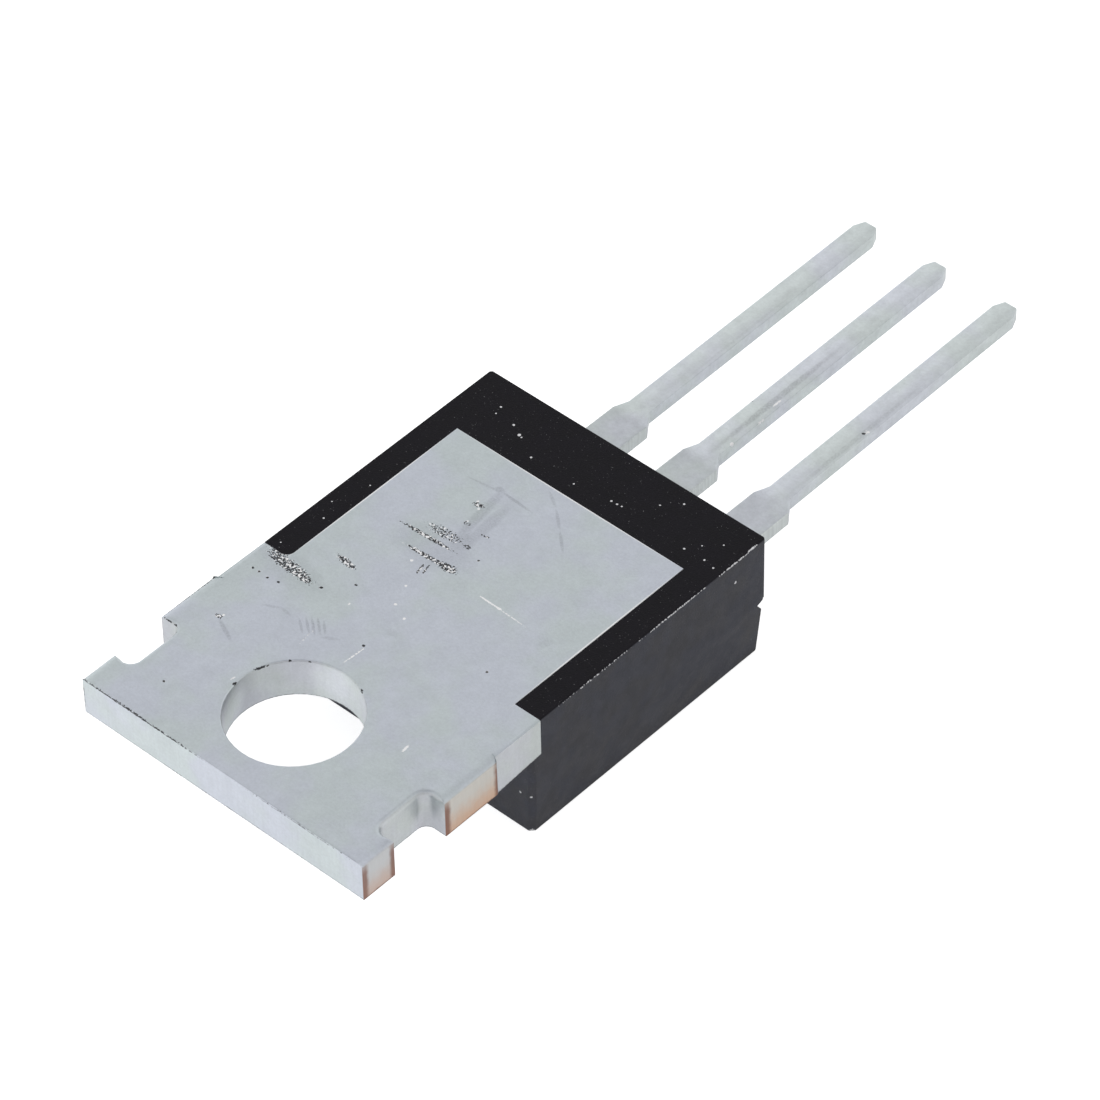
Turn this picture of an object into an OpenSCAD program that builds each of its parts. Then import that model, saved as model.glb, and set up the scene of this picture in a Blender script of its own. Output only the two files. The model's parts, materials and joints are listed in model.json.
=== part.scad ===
// Power MOSFET in a three-lead, metal-tab package, lying on its moulded front face.
// Origin: centre of the bounding box, on the plane that the front face rests on.
// +X runs across the width, +Y from the tab to the lead tips, +Z out of the heatsink face.
// Lengths along the part are measured from the tab's free end, then centred on the frame.

/* [Overall] */
// Length from the tab's free end to the lead tips
total_length = 28.8; // [27.5:0.1:30]
// Thickness from the front face to the heatsink face
package_thickness = 4.3; // [4.1:0.05:4.8]

/* [Tab] */
// Thickness of the tab and of the die pad behind it
tab_thickness = 1.27; // [1.2:0.01:1.35]
// Width over the two ears beside the screw hole
ear_width = 9.92; // [9.7:0.02:10.2]
// Width over the sheared stubs, which stand slightly proud
stub_width = 10.06; // [9.9:0.02:10.3]
// End of the sheared stubs
stub_end = 4.95; // [4.6:0.05:5.4]
// Tab length, up to the moulding on the heatsink side
tab_length = 6.66; // [6.3:0.02:6.8]
// Diameter of the screw hole
hole_diameter = 3.72; // [3.5:0.01:3.9]
// Centre of the screw hole
hole_position = 2.7; // [2.5:0.01:3]
// Start of the side notches
notch_start = 1.16; // [1:0.02:1.3]
// Length of each side notch
notch_length = 1.79; // [1.6:0.01:2]
// Depth of each side notch
notch_depth = 0.64; // [0.4:0.02:0.8]
// Corner radius at the bottom of each notch
notch_radius = 0.3; // [0.1:0.02:0.38]

/* [Die pad] */
// Width of the pad that shows in the heatsink face
pad_width = 8.06; // [7.6:0.02:8.6]
// End of the pad that shows in the heatsink face
pad_end = 13.18; // [12.8:0.02:13.6]
// Fillet between the shoulder of the tab and the pad, on the gate side
pad_fillet = 0.24; // [0.1:0.02:0.3]
// Reach of the coined lip that locks the pad into the moulding
lip_reach = 0.25; // [0.1:0.01:0.35]
// Height of that lip, from the die side
lip_height = 0.55; // [0.3:0.05:0.8]

/* [Moulded body] */
// Width at the heatsink face
body_width = 9.8; // [9.6:0.02:10]
// Lead end of the body, heatsink half
body_end = 15.47; // [15.45:0.01:15.7]
// Lead end of the body, front half
front_end = 15.43; // [15.1:0.01:15.44]
// Tab end of the body, at the front face
front_start = 6.5; // [6.4:0.02:6.6]
// Width of the front face
front_width = 9.34; // [9:0.02:9.6]
// Height of the parting line above the front face
parting_height = 2.14; // [2:0.02:2.3]
// Draft of the tab end under the tab, in degrees
end_draft = 5; // [2:0.5:6]
// Flat across the upright corners at the tab end of the body
tab_end_flat = 0.18; // [0.06:0.02:0.4]
// Flat across the upright corners at the lead end of the body
lead_end_flat = 0.1; // [0.06:0.02:0.4]
// Diameter of the ejector mark in the front face
ejector_diameter = 1.6; // [1:0.1:2.5]
// Depth of the ejector mark
ejector_depth = 0.06; // [0.03:0.01:0.15]

/* [Leads] */
// Distance between the leads' centre lines
lead_pitch = 2.54; // [2.5:0.01:2.6]
// Thickness of the leads
lead_thickness = 0.46; // [0.4:0.01:0.55]
// Depth of the leads below the heatsink face
lead_depth = 2.38; // [2.3:0.01:2.5]
// Width of the leads near the body
wide_width = 1.25; // [1.15:0.01:1.4]
// Width of the leads beyond their shoulders
narrow_width = 0.74; // [0.6:0.01:0.9]
// Place of the shoulders
shoulder_position = 18.43; // [18:0.01:19]
// Length of the shoulders' slope
shoulder_length = 0.45; // [0.2:0.01:0.6]
// Sideways shift of the narrow stretch against the wide one
narrow_shift = -0.08; // [-0.1:0.01:0.1]
// Further sideways shift of the tips
tip_shift = -0.05; // [-0.1:0.01:0.1]
// Width of the tips
tip_width = 0.42; // [0.3:0.01:0.5]
// Length of the tips' slope
tip_length = 0.36; // [0.2:0.01:0.6]

/* [Chip and bonds] */
// Width of the silicon die
die_width = 4.4; // [3:0.1:5.5]
// Length of the silicon die
die_length = 3.4; // [2.6:0.1:3.8]
// Thickness of the silicon die
die_thickness = 0.22; // [0.15:0.01:0.35]
// Thickness of the solder under the die
solder_thickness = 0.06; // [0.04:0.01:0.1]
// Diameter of the source wires
source_wire_diameter = 0.38; // [0.25:0.01:0.5]
// Diameter of the gate wire
gate_wire_diameter = 0.15; // [0.1:0.01:0.25]

/* [Hidden] */
$fn = 64;
cut = 1;
die_side = package_thickness - tab_thickness;
lead_top = package_thickness - lead_depth;
lead_bottom = lead_top - lead_thickness;
die_centre = (tab_length + pad_end) / 2;
die_face = die_side - solder_thickness - die_thickness;
solder_margin = 0.1;
body_middle = (front_start + body_end) / 2;

// Internal bond posts of the gate and source leads
post_start = 13.75;
post_length = 1.2;
post_width = 2.3;
post_shift = 0.15;

// Joggle of the drain lead, from the pad down to the lead plane
joggle_start = 13.7;
joggle_end = 14.6;
joggle_angle = atan2(die_side - lead_bottom, joggle_end - joggle_start);
joggle_miter = lead_thickness * tan(joggle_angle / 2);

// Bond wires: each is one arc that hangs below its two feet
wire_low = 0.95;
wire_bend = 2.7;
wire_run_on = 8;
foot_length = 0.8;
foot_thickness = 0.12;
post_foot = 14.35;
source_wire_1_x = 2.1;
source_wire_2_x = 2.9;
source_heading = -20;
gate_wire_x = -2.5;
gate_heading = 20;

// Nicks that the frame rails leave in the lead end's corners
nick_width = 0.6;
nick_depth = 0.34;
nick_height = 0.52;
nick_bottom_height = 0.17;

// Places the parts, which are drawn from the tab's free end, in the frame
module in_frame()
    translate([0, -total_length / 2, 0])
        children();

module mirrored()
{
    children();
    mirror([1, 0, 0])
        children();
}

// A side notch of the right ear, with two round corners at its bottom
module notch_outline()
{
    bottom = ear_width / 2 - notch_depth;
    notch_end = notch_start + notch_length;
    translate([bottom + notch_radius, notch_start])
        square([notch_depth, notch_length]);
    translate([bottom, notch_start + notch_radius])
        square([notch_depth, notch_length - 2 * notch_radius]);
    for (y = [notch_start + notch_radius, notch_end - notch_radius])
        translate([bottom + notch_radius, y])
            circle(notch_radius);
}

// The fillet between the shoulder of the tab and the pad, on the gate side
module fillet_outline()
    translate([-pad_width / 2, tab_length])
        difference() {
            translate([-pad_fillet, -pad_fillet])
                square(2 * pad_fillet);
            translate([-pad_fillet, pad_fillet])
                circle(pad_fillet);
        }

module centred_rectangle(width, start, end)
    translate([-width / 2, start])
        square([width, end - start]);

// The plate as it shows in the heatsink face
module plate_outline()
    difference() {
        union() {
            centred_rectangle(ear_width, 0, notch_start + notch_length);
            centred_rectangle(stub_width, notch_start + notch_length, stub_end);
            centred_rectangle(body_width, stub_end, tab_length);
            centred_rectangle(pad_width, tab_length, pad_end);
            fillet_outline();
        }
        mirrored()
            notch_outline();
    }

// One lead seen from above, with its shoulders and its tapered tip
module lead_outline(start)
{
    half_wide = wide_width / 2;
    half_narrow = narrow_width / 2;
    half_tip = tip_width / 2;
    tip_middle = narrow_shift + tip_shift;
    slope_end = shoulder_position + shoulder_length;
    tip_start = total_length - tip_length;
    polygon([
        [-half_wide, start], [-half_wide, shoulder_position],
        [narrow_shift - half_narrow, slope_end], [tip_middle - half_narrow, tip_start],
        [tip_middle - half_tip, total_length], [tip_middle + half_tip, total_length],
        [tip_middle + half_narrow, tip_start], [narrow_shift + half_narrow, slope_end],
        [half_wide, shoulder_position], [half_wide, start]
    ]);
}

module lead(start)
    translate([0, 0, lead_bottom])
        linear_extrude(lead_thickness)
            lead_outline(start);

// Side view of the bent stretch that joins the pad to the drain lead
module joggle()
{
    plate_edge = pad_end - lip_reach;
    overlap = joggle_end + 2 * joggle_miter;
    rotate([90, 0, 90])
        linear_extrude(wide_width, center = true)
            polygon([
                [plate_edge, die_side], [joggle_start, die_side],
                [joggle_end, lead_bottom], [overlap, lead_bottom], [overlap, lead_top],
                [joggle_end + joggle_miter, lead_top],
                [joggle_start + joggle_miter, die_side + lead_thickness],
                [plate_edge, die_side + lead_thickness]
            ]);
}

module plate()
    difference() {
        union() {
            translate([0, 0, die_side])
                linear_extrude(tab_thickness)
                    plate_outline();
            translate([0, 0, die_side])
                linear_extrude(lip_height)
                    centred_rectangle(pad_width + 2 * lip_reach, tab_length + lip_reach, pad_end + lip_reach);
        }
        translate([0, hole_position, die_side - cut])
            cylinder(h = tab_thickness + 2 * cut, d = hole_diameter);
    }

module tab_solid()
{
    plate();
    joggle();
    lead(joggle_end + joggle_miter);
}

// An outer lead with the bond post that it ends in; side is -1 for the gate and 1 for the source
module outer_lead_solid(side)
    translate([side * lead_pitch, 0, 0]) {
        lead(post_start + post_length / 2);
        translate([side * post_shift, post_start + post_length / 2, lead_bottom + lead_thickness / 2])
            cube([post_width, post_length, lead_thickness], center = true);
    }

module solder_solid()
    translate([0, die_centre, die_side - solder_thickness / 2])
        cube([die_width + 2 * solder_margin, die_length + 2 * solder_margin, solder_thickness], center = true);

module die_solid()
    translate([0, die_centre, die_face + die_thickness / 2])
        cube([die_width, die_length, die_thickness], center = true);

// A bond wire whose arc rises from its low point to the die on one side and the post on the other
module wire_solid(post_x, heading, diameter)
{
    centre_height = wire_low + wire_bend;
    post_span = sqrt(pow(wire_bend, 2) - pow(centre_height - lead_bottom, 2));
    die_span = sqrt(pow(wire_bend, 2) - pow(centre_height - die_face, 2));
    post_turn = asin(post_span / wire_bend) + wire_run_on;
    die_turn = asin(die_span / wire_bend) + wire_run_on;
    block = 4 * wire_bend;
    translate([post_x, post_foot, 0])
        rotate([0, 0, 90 + heading]) {
            difference() {
                translate([-post_span, 0, centre_height])
                    rotate([90, 90 + die_turn, 0])
                        rotate_extrude(angle = die_turn + post_turn)
                            translate([wire_bend, 0])
                                circle(d = diameter, $fn = 24);
                translate([-block - post_span, -block / 2, die_face])
                    cube(block);
                translate([-post_span, -block / 2, lead_bottom])
                    cube(block);
            }
            translate([-foot_length / 2, -diameter / 2, lead_bottom - foot_thickness])
                cube([foot_length, diameter, foot_thickness]);
            translate([-post_span - die_span - foot_length / 2, -diameter / 2, die_face - foot_thickness])
                cube([foot_length, diameter, foot_thickness]);
        }
}

// The body's section across its width, run from end to end
module side_section()
    translate([0, body_end + cut, 0])
        rotate([90, 0, 0])
            linear_extrude(body_end + cut)
                polygon([
                    [-front_width / 2, 0], [front_width / 2, 0],
                    [body_width / 2, parting_height], [body_width / 2, package_thickness],
                    [-body_width / 2, package_thickness], [-body_width / 2, parting_height]
                ]);

// Place of the body's drafted tab end at a height
function tab_end_at(height) = front_start - height * tan(end_draft);

// The body's section along its length, run from side to side
module length_section()
    rotate([90, 0, 90])
        linear_extrude(body_width + 2 * cut, center = true)
            polygon([
                [front_start, 0], [front_end, 0], [front_end, parting_height],
                [body_end, parting_height], [body_end, package_thickness],
                [tab_length, package_thickness], [tab_length, die_side], [tab_end_at(die_side), die_side]
            ]);

// Distance of a corner's flat from the body's middle, along the diagonal
function flat_reach(x, y, flat) = (x + abs(y - body_middle)) / sqrt(2) - flat / 2;

// Takes one upright corner off behind a slope, given as [reach, height] points from the bottom up
module corner_cut(turn, slope)
{
    outside = 2 * body_width;
    top = slope[len(slope) - 1][1];
    translate([0, body_middle, 0])
        rotate([90, 0, turn])
            linear_extrude(body_width, center = true)
                polygon(concat([[outside, -cut]], [[slope[0][0], -cut]], slope, [[outside, top]]));
}

module corner_cuts()
{
    mirrored() {
        corner_cut(-45, [
            [flat_reach(front_width / 2, front_start, tab_end_flat), 0],
            [flat_reach(body_width / 2, tab_end_at(parting_height), tab_end_flat), parting_height],
            [flat_reach(body_width / 2, tab_end_at(die_side), tab_end_flat), die_side]
        ]);
        corner_cut(45, [
            [flat_reach(front_width / 2, front_end, lead_end_flat), 0],
            [flat_reach(body_width / 2, front_end, lead_end_flat), parting_height],
            [flat_reach(body_width / 2, body_end, lead_end_flat), parting_height],
            [flat_reach(body_width / 2, body_end, lead_end_flat), package_thickness + cut]
        ]);
    }
}

module corner_nick()
    translate([body_width / 2 - nick_width, 0, 0])
        rotate([90, 0, 90])
            linear_extrude(nick_width + cut)
                polygon([
                    [body_end + cut, parting_height], [body_end, parting_height],
                    [body_end - nick_depth, parting_height - nick_bottom_height],
                    [front_end, parting_height - nick_height], [body_end + cut, parting_height - nick_height]
                ]);

module body_solid()
    difference() {
        intersection() {
            side_section();
            length_section();
        }
        corner_cuts();
        mirrored()
            corner_nick();
        translate([0, die_centre, -cut])
            cylinder(h = cut + ejector_depth, d = ejector_diameter);
    }

module tab_with_drain_lead()
    color("silver")
        in_frame()
            tab_solid();

module gate_lead()
    color("silver")
        in_frame()
            outer_lead_solid(-1);

module source_lead()
    color("silver")
        in_frame()
            outer_lead_solid(1);

module silicon_die()
    color("slategray")
        in_frame()
            die_solid();

module die_solder()
    color("gray")
        in_frame()
            solder_solid();

module gate_wire()
    color("gainsboro")
        in_frame()
            wire_solid(gate_wire_x, gate_heading, gate_wire_diameter);

module source_wire_1()
    color("gainsboro")
        in_frame()
            wire_solid(source_wire_1_x, source_heading, source_wire_diameter);

module source_wire_2()
    color("gainsboro")
        in_frame()
            wire_solid(source_wire_2_x, source_heading, source_wire_diameter);

// The moulding fills all the space round the metal, the die and the wires
module moulded_body()
    color("#26262a")
        in_frame()
            difference() {
                body_solid();
                tab_solid();
                outer_lead_solid(-1);
                outer_lead_solid(1);
                solder_solid();
                die_solid();
                wire_solid(gate_wire_x, gate_heading, gate_wire_diameter);
                wire_solid(source_wire_1_x, source_heading, source_wire_diameter);
                wire_solid(source_wire_2_x, source_heading, source_wire_diameter);
            }

tab_with_drain_lead();
gate_lead();
source_lead();
moulded_body();
silicon_die();
die_solder();
gate_wire();
source_wire_1();
source_wire_2();
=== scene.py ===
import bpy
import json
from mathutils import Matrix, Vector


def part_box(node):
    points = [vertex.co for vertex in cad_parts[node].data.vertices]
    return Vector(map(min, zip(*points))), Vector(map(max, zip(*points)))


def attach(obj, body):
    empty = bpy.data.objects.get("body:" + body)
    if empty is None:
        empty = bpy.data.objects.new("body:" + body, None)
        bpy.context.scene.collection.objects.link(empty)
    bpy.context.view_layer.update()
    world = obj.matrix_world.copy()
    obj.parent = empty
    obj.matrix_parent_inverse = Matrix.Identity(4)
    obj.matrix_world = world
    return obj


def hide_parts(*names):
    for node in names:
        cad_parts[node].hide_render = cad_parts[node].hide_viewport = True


bl_info = {
    "name": "Power MOSFET with a metal tab",
    "version": (1, 0, 0),
    "blender": (4, 5, 0),
    "location": "View3D > Sidebar > Power MOSFET",
    "description": "Rounds the stamped and moulded edges of a power MOSFET and gives its parts their finishes",
    "category": "Object",
}

import json
import math

import bmesh
import bpy
from mathutils import Euler, Matrix, Vector

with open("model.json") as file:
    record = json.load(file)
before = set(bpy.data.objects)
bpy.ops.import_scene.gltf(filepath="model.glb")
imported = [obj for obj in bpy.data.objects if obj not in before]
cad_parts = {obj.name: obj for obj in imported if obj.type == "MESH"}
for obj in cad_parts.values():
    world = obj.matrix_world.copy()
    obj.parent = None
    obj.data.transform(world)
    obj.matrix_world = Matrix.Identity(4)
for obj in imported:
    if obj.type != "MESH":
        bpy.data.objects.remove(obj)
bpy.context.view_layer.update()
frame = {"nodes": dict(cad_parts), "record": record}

MM = 0.001
TOUCH = 0.002

# Angles in radians, and the gap in metres below which two vertices are one
SHARP_EDGE = math.radians(12)
SMOOTH_EDGE = math.radians(40)
FLAT_EDGE = math.radians(0.3)
SAME_POINT = 1e-7

# Corners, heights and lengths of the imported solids, in millimetres
TAB_LOW, TAB_HIGH = (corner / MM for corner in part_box("tab_with_drain_lead"))
BODY_LOW, BODY_HIGH = (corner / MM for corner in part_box("moulded_body"))
GATE_LOW, GATE_HIGH = (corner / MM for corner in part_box("gate_lead"))
DIE_LOW, DIE_HIGH = (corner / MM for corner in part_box("silicon_die"))
HOLE_MOUNT = next(mount for mount in frame["record"]["mounts"] if mount["name"] == "tab_hole")
HOLE_CENTRE = Vector(HOLE_MOUNT["pos_m"]) / MM
HOLE_RADIUS = HOLE_MOUNT["dims"]["r_mm"]

TAB_END = TAB_LOW.y
HEATSINK_FACE = TAB_HIGH.z
PLATE_THICKNESS = 1.27
TAB_UNDERSIDE = HEATSINK_FACE - PLATE_THICKNESS
EAR_SIDE = 4.96
EAR_END = TAB_END + 1.16
STUB_SIDE = TAB_HIGH.x
STUB_START = TAB_END + 2.95
STUB_END = TAB_END + 4.95
BAND_START = TAB_END + 6.66
PAD_END = TAB_END + 13.18
LEAD_TOP = GATE_HIGH.z
LEAD_BOTTOM = GATE_LOW.z
LEAD_PITCH = 2.54
LEAD_SIDE = 0.625
LEAD_WIDE_END = TAB_END + 18.43
PARTING = 2.14

# How far the stubs' ends slant, how far the shoulders widen at their feet, and where the moulding's corner would fold
STUB_SLANT = 0.08
FOOT_FLARE = 0.09
FOLD = Vector((4.8146, 1.03, 2.134))
FOLD_LEVEL = 2.1255

# The stage, in metres
FLOOR_RADIUS = 0.6
FLOOR_RIM = 0.2
FLOOR_RISE = 0.06
LAMP_PLACE = Vector((-0.11, -0.19, 0.2))
LAMP_SIZE = 0.2


# ---------------------------------------------------------------- settings

def colour(name, description, default):
    return bpy.props.FloatVectorProperty(
        name=name, description=description, default=default, subtype="COLOR", size=3, min=0, max=1
    )


def length(name, description, default):
    return bpy.props.FloatProperty(
        name=name, description=description, default=default * MM, unit="LENGTH", min=0, precision=6
    )


def share(name, description, default):
    return bpy.props.FloatProperty(
        name=name, description=description, default=default, subtype="FACTOR", min=0, max=1
    )


class MosfetEdges(bpy.types.PropertyGroup):
    """Radii of the rounded edges"""

    rolled: length("Rolled edge", "Width where the punch drew the tab's rim down", 0.3)
    drop: share("Rolled drop", "Height of the rolled edge as a share of its width", 0.42)
    notch: length("Notch rim", "Radius round the side notches", 0.15)
    shoulder: length("Shoulder edge", "Radius along the tab's plated shoulders", 0.12)
    end: length("End edge", "Radius along the tab's free end", 0.06)
    hole: length("Hole rim", "Radius round the screw hole", 0.05)
    plain: length("Plain edge", "Radius of the tab's other edges", 0.03)
    flush: length("Flush edge", "Radius where metal and moulding lie flush", 0.014)
    lead: length("Lead edge", "Radius along the leads' upper edges", 0.055)
    lead_under: length("Lead under edge", "Radius along the leads' lower edges", 0.04)
    body: length("Moulding edge", "Radius of the moulding's outer edges", 0.05)
    corner: length("Moulding corner", "Radius beside the moulding's corner flats", 0.042)
    segments: bpy.props.IntProperty(
        name="Segments", description="Steps across each rounded edge", default=4, min=1, max=8
    )


class MosfetColours(bpy.types.PropertyGroup):
    """Colours of the finishes"""

    tin: colour("Tin", "Satin tin plating", (0.69, 0.73, 0.81))
    tin_tint: colour("Tin, tinted", "Faint second tone of the plating", (0.685, 0.75, 0.77))
    lead: colour("Lead tint", "Share of its colour that the plating keeps on a lead", (1.0, 0.985, 0.96))
    # The wall share darkens the steep walls partly as duller punched plating and partly as painted shade
    dull_and_shaded: colour("Punched walls", "Share of its colour that the plating keeps on a wall", (0.87, 0.845, 0.82))
    dragged: colour("Dragged plating", "Plating dragged over the tab's sheared sides", (0.59, 0.60, 0.61))
    burnished: colour("Drawn plating", "Plating dragged over the sheared stubs", (0.63, 0.61, 0.57))
    copper: colour("Bare copper", "Copper that the shears laid bare", (0.65, 0.45, 0.33))
    copper_pale: colour("Smeared copper", "Bare copper with some tin smeared over it", (0.60, 0.47, 0.41))
    ribbed: colour("Ribbed lead sides", "Cut sides of the leads' wide roots", (0.66, 0.70, 0.70))
    stained: colour("Stained copper", "Darkened copper at the ends of a sheared face", (0.25, 0.12, 0.085))
    # The dark mark colour also paints the shade along the stamped rims
    mark: colour("Dark mark", "Handling marks in the plating", (0.035, 0.035, 0.04))
    # The scratch colour is a painted glint, on the scratches, the flecks and the die pad's rim
    scratch_glint: colour("Bright scratch", "Fresh scratches in the plating", (0.95, 0.95, 0.96))
    resin: colour("Moulding face", "Filled black epoxy of the heatsink face", (0.0066, 0.0060, 0.0085))
    # The moulded sides' grey is partly their skin and partly painted light from the floor
    resin_side: colour("Moulding side", "Greyer skin of the moulded sides", (0.052, 0.054, 0.068))
    resin_side_tint: colour("Moulding side, tinted", "Second tone of the moulded sides", (0.053, 0.053, 0.061))
    filler: colour("Filler grain", "Light mineral grains in the epoxy", (0.75, 0.75, 0.77))
    silicon: colour("Silicon", "Sawn sides of the chip", (0.20, 0.21, 0.25))
    cells: colour("Cell metal", "Metallised face of the chip", (0.75, 0.75, 0.76))
    solder: colour("Solder", "Dull soft solder", (0.46, 0.46, 0.48))
    wire: colour("Bond wire", "Drawn aluminium", (0.80, 0.80, 0.81))


class MosfetFinish(bpy.types.PropertyGroup):
    """Gloss of the finishes"""

    tin: share("Tin roughness", "Roughness of the plating", 0.38)
    sheared: share("Sheared roughness", "Roughness of the sheared faces", 0.46)
    resin: share("Moulding roughness", "Roughness of the epoxy", 0.5)
    resin_specular: share("Moulding specular", "Specular level of the epoxy", 0.13)


class MosfetStage(bpy.types.PropertyGroup):
    """Camera, light and floor"""

    azimuth: bpy.props.FloatProperty(
        name="Azimuth", description="Turn of the camera round the part", default=math.radians(43.036),
        subtype="ANGLE", unit="ROTATION"
    )
    elevation: bpy.props.FloatProperty(
        name="Elevation", description="Height of the camera above the floor, as an angle",
        default=math.radians(44.719), subtype="ANGLE", unit="ROTATION"
    )
    roll: bpy.props.FloatProperty(
        name="Roll", description="Turn of the camera about its own axis", default=math.radians(-1.191),
        subtype="ANGLE", unit="ROTATION"
    )
    distance: length("Distance", "Distance of the camera from its aim", 161.17)
    aim: bpy.props.FloatVectorProperty(
        name="Aim", description="Point that the camera looks at", default=(0.000946, -0.003017, 0.0043),
        subtype="XYZ", unit="LENGTH", size=3, precision=6
    )
    focal: bpy.props.FloatProperty(
        name="Focal length", description="Focal length on a 36 mm frame, in millimetres", default=201.6, min=10
    )
    zenith: share("Zenith", "Brightness straight above the part, as a share of the sky's", 0.6)
    sky: share("Sky", "Brightness of the studio above the part", 0.715)
    horizon: share("Horizon", "Brightness of the studio walls near the floor", 0.95)
    lamp: bpy.props.FloatProperty(
        name="Lamp", description="Power of the soft lamp", default=0.22, unit="POWER", min=0
    )
    floor: share("Floor", "Whiteness of the floor", 0.8)
    glow: share("Floor glow", "Light that the camera sees the floor give off", 0.75)
    mirror_glow: share("Mirrored glow", "Light that a glossy surface sees the floor give off", 0.33)


def settings():
    return bpy.context.scene.power_mosfet


class MosfetSettings(bpy.types.PropertyGroup):
    """All settings of the part"""

    edges: bpy.props.PointerProperty(type=MosfetEdges, name="Edges", description="Radii of the rounded edges")
    colours: bpy.props.PointerProperty(type=MosfetColours, name="Colours", description="Colours of the finishes")
    finish: bpy.props.PointerProperty(type=MosfetFinish, name="Finish", description="Gloss of the finishes")
    stage: bpy.props.PointerProperty(type=MosfetStage, name="Stage", description="Camera, light and floor")


# ---------------------------------------------------------------- modelling

def select_only(piece):
    bpy.ops.object.select_all(action="DESELECT")
    piece.select_set(True)
    bpy.context.view_layer.objects.active = piece


def copy_of(node, name):
    """A new piece with the solid's shape, its triangles merged into whole faces."""
    piece = bpy.data.objects.new(name, frame["nodes"][node].data.copy())
    piece.data.name = name
    piece.data.materials.clear()
    bpy.context.scene.collection.objects.link(piece)
    select_only(piece)
    bpy.ops.mesh.customdata_custom_splitnormals_clear()
    bpy.ops.object.mode_set(mode="EDIT")
    bpy.ops.mesh.select_all(action="SELECT")
    bpy.ops.mesh.remove_doubles(threshold=SAME_POINT)
    bpy.ops.mesh.dissolve_limited(angle_limit=FLAT_EDGE)
    bpy.ops.object.mode_set(mode="OBJECT")
    return piece


def apply_modifier(piece, kind, **values):
    modifier = piece.modifiers.new(kind.title(), kind)
    for key, value in values.items():
        setattr(modifier, key, value)
    select_only(piece)
    bpy.ops.object.modifier_apply(modifier=modifier.name)


def round_edges(piece, radius_of, widest, segments):
    """Rounds every sharp edge by the radius, in metres, that radius_of gives for its ends in millimetres."""
    select_only(piece)
    bpy.ops.object.mode_set(mode="EDIT")
    mesh = bmesh.from_edit_mesh(piece.data)
    weight = mesh.edges.layers.float.new("bevel_weight_edge")
    for edge in mesh.edges:
        if len(edge.link_faces) == 2 and edge.calc_face_angle(0) > SHARP_EDGE:
            a, b = (vertex.co / MM for vertex in edge.verts)
            edge[weight] = radius_of(a, b) / widest
    bmesh.update_edit_mesh(piece.data)
    bpy.ops.object.mode_set(mode="OBJECT")
    apply_modifier(
        piece, "BEVEL", limit_method="WEIGHT", width=widest, segments=segments,
        use_clamp_overlap=False, loop_slide=True
    )


def edit_where(piece, chosen, operator, **values):
    """Applies an edit operator to the vertices that chosen picks by their place in millimetres."""
    select_only(piece)
    bpy.ops.object.mode_set(mode="EDIT")
    bpy.ops.mesh.select_all(action="DESELECT")
    mesh = bmesh.from_edit_mesh(piece.data)
    for vertex in mesh.verts:
        vertex.select = chosen(vertex.co / MM)
    mesh.select_flush(True)
    bmesh.update_edit_mesh(piece.data)
    operator(**values)
    bpy.ops.object.mode_set(mode="OBJECT")


def smooth_faces(piece):
    """Soft shading over the rounded edges, while the large faces stay flat."""
    select_only(piece)
    bpy.ops.object.shade_smooth_by_angle(angle=SMOOTH_EDGE)
    apply_modifier(piece, "WEIGHTED_NORMAL", keep_sharp=True, weight=80)


def finish_piece(piece, slot, node):
    """Gives a piece its material and puts it in its solid's place."""
    piece.data.materials.clear()
    piece.data.materials.append(finish_for(slot))
    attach(piece, "root")
    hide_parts(node)


def near(value, target, reach=TOUCH):
    return abs(value - target) < reach


def lead_edge_radius(a, b, edges):
    """Radius for an edge of a lead outside the moulding."""
    if max(a.y, b.y) < BODY_HIGH.y:
        return 0
    if near(a.z, b.z):
        return edges.lead if near(a.z, LEAD_TOP) else edges.lead_under
    return edges.lead_under


def tab_edge_radius(a, b, edges):
    """Radius for an edge of the plate that the tab, the die pad and the drain lead are stamped from."""
    middle = (a + b) / 2
    if max(a.y, b.y) > PAD_END + 1:
        return lead_edge_radius(a, b, edges)
    upright = not near(a.z, b.z)
    top = near(middle.z, HEATSINK_FACE) and not upright
    if any(near((p - HOLE_CENTRE).xy.length, HOLE_RADIUS, reach=0.02) for p in (a, b)):
        return 0 if upright else edges.hole if top else edges.plain
    if middle.y > BAND_START - TOUCH:
        return edges.flush if top else 0
    if not (top or upright or near(middle.z, TAB_UNDERSIDE)):
        return 0
    if upright:
        return edges.plain if near(abs(middle.x), EAR_SIDE) or near(abs(middle.x), STUB_SIDE) else 0
    if not top:
        return edges.plain
    if near(a.y, TAB_END) and near(b.y, TAB_END):
        return edges.end
    if middle.y > STUB_END + TOUCH:
        return edges.shoulder
    if min(a.y, b.y) > STUB_END - 0.1:
        return edges.plain
    along_side = near(a.x, b.x) and abs(a.x) > EAR_SIDE - TOUCH
    return edges.rolled if along_side else edges.notch


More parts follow.
